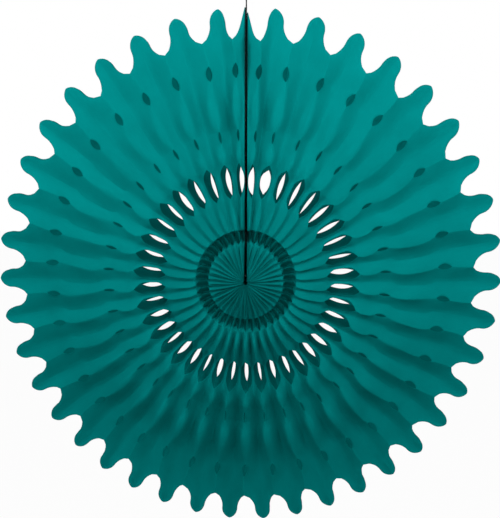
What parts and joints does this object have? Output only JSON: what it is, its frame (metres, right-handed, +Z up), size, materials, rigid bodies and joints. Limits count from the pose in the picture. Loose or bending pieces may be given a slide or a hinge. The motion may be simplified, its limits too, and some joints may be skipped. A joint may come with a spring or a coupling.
{
  "type": "paper fan medallion",
  "caption": "Round honeycomb tissue fan with a toothed rim, rings of die-cut lens holes and a pleated centre, hung by a string at its seam.",
  "frame": {"origin": "centre of the disc, where the pleats meet, on the disc's middle plane", "axes": "the disc stands in the XZ plane; the cut front faces -Y; +Z is up, towards the seam and the string"},
  "size_m": [0.4, 0.0284, 0.4518],
  "materials": {
    "tissue": "matt coloured tissue",
    "card": "matt coloured card",
    "string": "twisted black cord"
  },
  "bodies": {
    "root": {"honeycomb_tissue": "tissue", "end_card_right": "card", "end_card_left": "card", "hanging_string": "string", "centre_knot": "string", "loop_knot": "string", "hanging_loop": "string"}
  },
  "joints": []
}
